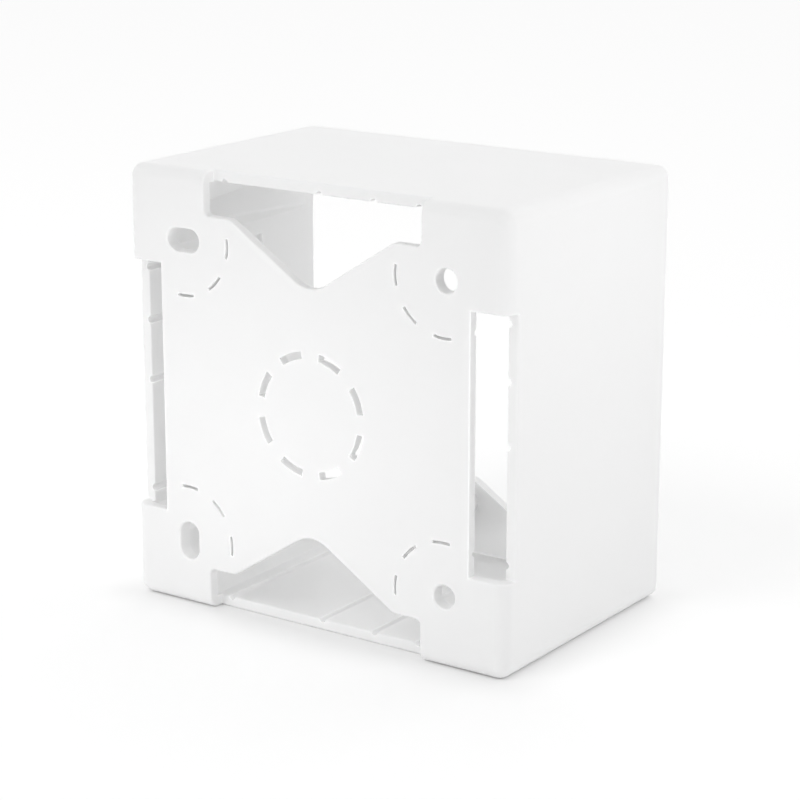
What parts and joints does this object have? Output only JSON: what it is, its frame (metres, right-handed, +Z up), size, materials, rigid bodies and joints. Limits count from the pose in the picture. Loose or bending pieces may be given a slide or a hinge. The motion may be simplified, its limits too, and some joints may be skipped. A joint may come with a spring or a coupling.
{
  "type": "single gang back box",
  "caption": "Square surface-mount wiring box moulded in one piece, open at the front, with a slotted and notched back panel, knock-outs and two screw lugs.",
  "frame": {"origin": "centre of the back face, where the box meets the wall it is fixed to", "axes": "+X to the right seen from behind, +Y from the back face to the open front, +Z up; the box stands on its bottom wall at -43 mm"},
  "size_m": [0.086, 0.056, 0.086],
  "materials": {
    "white_abs": "satin"
  },
  "bodies": {
    "root": {"back_box": "white_abs"}
  },
  "joints": []
}
